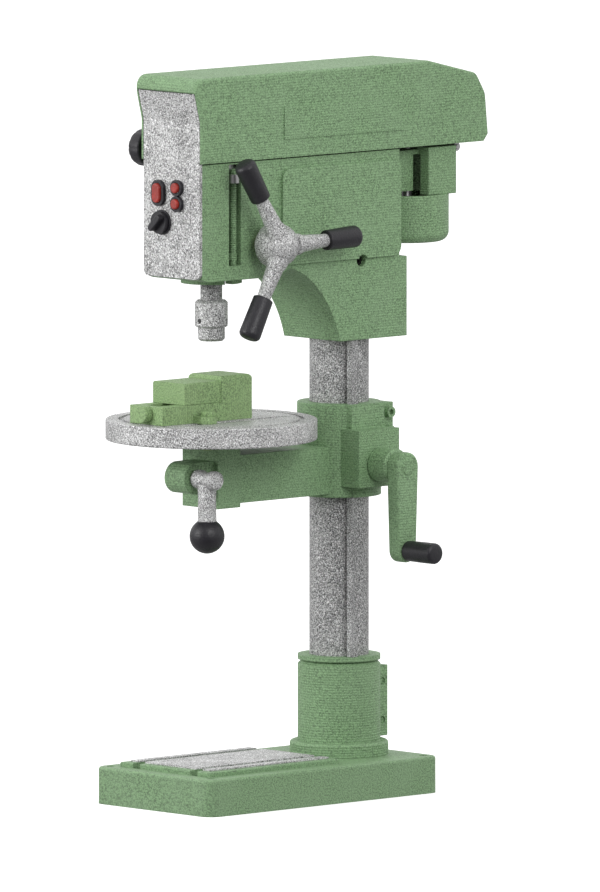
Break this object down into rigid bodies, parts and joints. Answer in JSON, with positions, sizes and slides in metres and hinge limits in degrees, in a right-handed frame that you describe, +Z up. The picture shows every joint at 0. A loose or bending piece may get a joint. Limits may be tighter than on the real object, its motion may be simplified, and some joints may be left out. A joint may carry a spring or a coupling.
{
  "type": "drill press",
  "caption": "Bench pillar drill with belt hood, lever feed star, chuck, crank-raised round table, drill vise and cast base.",
  "frame": {"origin": "on the column's axis, in the plane of the bench under the base", "axes": "+Z up along the column, -Y towards the operator and the front panel, +X to the operator's right, where the feed star and the crank are"},
  "size_m": [0.3393, 0.61, 1.005],
  "materials": {
    "green_paint": "satin sage enamel on castings",
    "vise_paint": "yellower green enamel",
    "machined_silver": "bright sparkling metal",
    "steel": "turned and ground",
    "black_plastic": "satin black",
    "red_plastic": "signal red",
    "stator_iron": "laminations",
    "belt_rubber": "matt",
    "bronze": "turned"
  },
  "bodies": {
    "machine": {"base_plate": "green_paint", "column_socket": "green_paint", "socket_screws": "steel", "column": "machined_silver", "head_casting": "green_paint", "head_set_screw": "steel", "front_panel": "machined_silver", "switch_bodies": "black_plastic", "motor_mount": "green_paint", "motor_mount_screws": "steel", "motor_housing": "green_paint", "motor_stator": "stator_iron", "drive_bearings": "steel", "drive_belts": "belt_rubber", "feed_bushes": "bronze", "spring_cap": "green_paint", "return_spring": "steel", "hinge_fixed_leaf": "steel", "hinge_pin": "steel", "cable_gland": "black_plastic"},
    "hood": {"top_cover": "green_paint", "hinge_moving_leaf": "steel"},
    "latch": {"hood_latch": "steel", "latch_knob": "black_plastic"},
    "stop_switch": {"stop_button": "red_plastic"},
    "start_switch": {"start_button": "red_plastic"},
    "jog_switch": {"jog_button": "red_plastic"},
    "selector": {"selector_knob": "black_plastic"},
    "rotor": {"motor_rotor": "steel", "motor_pulley": "machined_silver"},
    "pulley": {"spindle_pulley": "machined_silver", "pulley_sleeve": "steel"},
    "quill_slide": {"quill": "steel", "quill_bearings": "steel", "depth_rod": "steel"},
    "nut": {"depth_nut": "steel"},
    "spindle_unit": {"spindle": "steel", "chuck_body": "machined_silver", "chuck_sleeve": "machined_silver", "chuck_jaws": "steel"},
    "feed_star": {"feed_pinion": "steel", "feed_hub": "machined_silver", "feed_arms": "machined_silver", "feed_grips": "black_plastic"},
    "rack": {"rack_ring": "green_paint", "lift_rack": "machined_silver"},
    "table_arm": {"table_bracket": "green_paint", "collar_clamp_screws": "steel", "crank_bush": "bronze"},
    "crank": {"crank_shaft": "steel", "crank_arm": "green_paint", "crank_pin": "steel"},
    "grip": {"crank_grip": "black_plastic"},
    "lock": {"lock_lever": "machined_silver", "lock_ball": "black_plastic"},
    "table": {"round_table": "machined_silver", "vise_body": "vise_paint", "vise_bolts": "vise_paint"},
    "jaw": {"vise_moving_jaw": "vise_paint"},
    "jaw_screw": {"vise_screw": "vise_paint"}
  },
  "joints": [
    {"name": "hood_open", "type": "hinge", "parent": "machine", "child": "hood", "pos_m": [0, 0.191, 0.88], "axis": [1, 0, 0], "range_deg": [-70, 0]},
    {"name": "latch_turn", "type": "hinge", "parent": "hood", "child": "latch", "pos_m": [-0.06, -0.288, 0.901], "axis": [1, 0, 0], "range_deg": [0, 90]},
    {"name": "stop_press", "type": "slide", "parent": "machine", "child": "stop_switch", "axis": [0, 1, 0], "range_m": [0, 0.0035], "stiffness_N_per_m": 300, "springref_m": -0.004},
    {"name": "start_press", "type": "slide", "parent": "machine", "child": "start_switch", "axis": [0, 1, 0], "range_m": [0, 0.0035], "stiffness_N_per_m": 300, "springref_m": -0.004},
    {"name": "jog_press", "type": "slide", "parent": "machine", "child": "jog_switch", "axis": [0, 1, 0], "range_m": [0, 0.0035], "stiffness_N_per_m": 300, "springref_m": -0.004},
    {"name": "selector_turn", "type": "hinge", "parent": "machine", "child": "selector", "pos_m": [-0.018, -0.314, 0.804], "axis": [0, 1, 0], "range_deg": [-60, 60]},
    {"name": "quill_feed", "type": "slide", "parent": "machine", "child": "quill_slide", "axis": [0, 0, -1], "range_m": [0, 0.04], "stiffness_N_per_m": 400, "springref_m": -0.2},
    {"name": "feed_turn", "type": "hinge", "parent": "machine", "child": "feed_star", "pos_m": [0, -0.199, 0.772], "axis": [1, 0, 0], "range_deg": [0, 170]},
    {"name": "depth_nut_set", "type": "slide", "parent": "quill_slide", "child": "nut", "axis": [0, 0, -1], "range_m": [0, 0.05]},
    {"name": "spindle_spin", "type": "hinge", "parent": "quill_slide", "child": "spindle_unit", "pos_m": [0, -0.24, 0.7], "axis": [0, 0, 1], "continuous": true},
    {"name": "pulley_spin", "type": "hinge", "parent": "machine", "child": "pulley", "pos_m": [0, -0.24, 0.918], "axis": [0, 0, 1], "continuous": true},
    {"name": "motor_spin", "type": "hinge", "parent": "machine", "child": "rotor", "pos_m": [0, 0.128, 0.8], "axis": [0, 0, 1], "continuous": true},
    {"name": "table_swing", "type": "hinge", "parent": "machine", "child": "rack", "pos_m": [0, 0, 0.2], "axis": [0, 0, 1], "range_deg": [-90, 90]},
    {"name": "table_lift", "type": "slide", "parent": "rack", "child": "table_arm", "axis": [0, 0, -1], "range_m": [-0.025, 0.2]},
    {"name": "crank_turn", "type": "hinge", "parent": "table_arm", "child": "crank", "pos_m": [0.09, 0, 0.457], "axis": [1, 0, 0], "range_deg": [-830, 110]},
    {"name": "grip_spin", "type": "hinge", "parent": "crank", "child": "grip", "pos_m": [0.16, 0, 0.342], "axis": [1, 0, 0], "continuous": true},
    {"name": "table_rotate", "type": "hinge", "parent": "table_arm", "child": "table", "pos_m": [0, -0.24, 0.5], "axis": [0, 0, 1], "continuous": true},
    {"name": "table_lock", "type": "hinge", "parent": "table_arm", "child": "lock", "pos_m": [0.04, -0.295, 0.454], "axis": [1, 0, 0], "range_deg": [-60, 0]},
    {"name": "jaw_slide", "type": "slide", "parent": "table", "child": "jaw", "axis": [0, -1, 0], "range_m": [0, 0.03]},
    {"name": "jaw_screw_turn", "type": "hinge", "parent": "table", "child": "jaw_screw", "pos_m": [0, -0.36, 0.545], "axis": [0, 1, 0], "range_deg": [0, 2710]}
  ],
  "couplings": [
    {"joint": "feed_turn", "follows": "quill_feed", "rad_per_m": 71.429},
    {"joint": "pulley_spin", "follows": "spindle_spin", "ratio": 1},
    {"joint": "motor_spin", "follows": "spindle_spin", "ratio": 1.4839},
    {"joint": "crank_turn", "follows": "table_lift", "rad_per_m": -71.429},
    {"joint": "jaw_screw_turn", "follows": "jaw_slide", "rad_per_m": 1570.8}
  ]
}
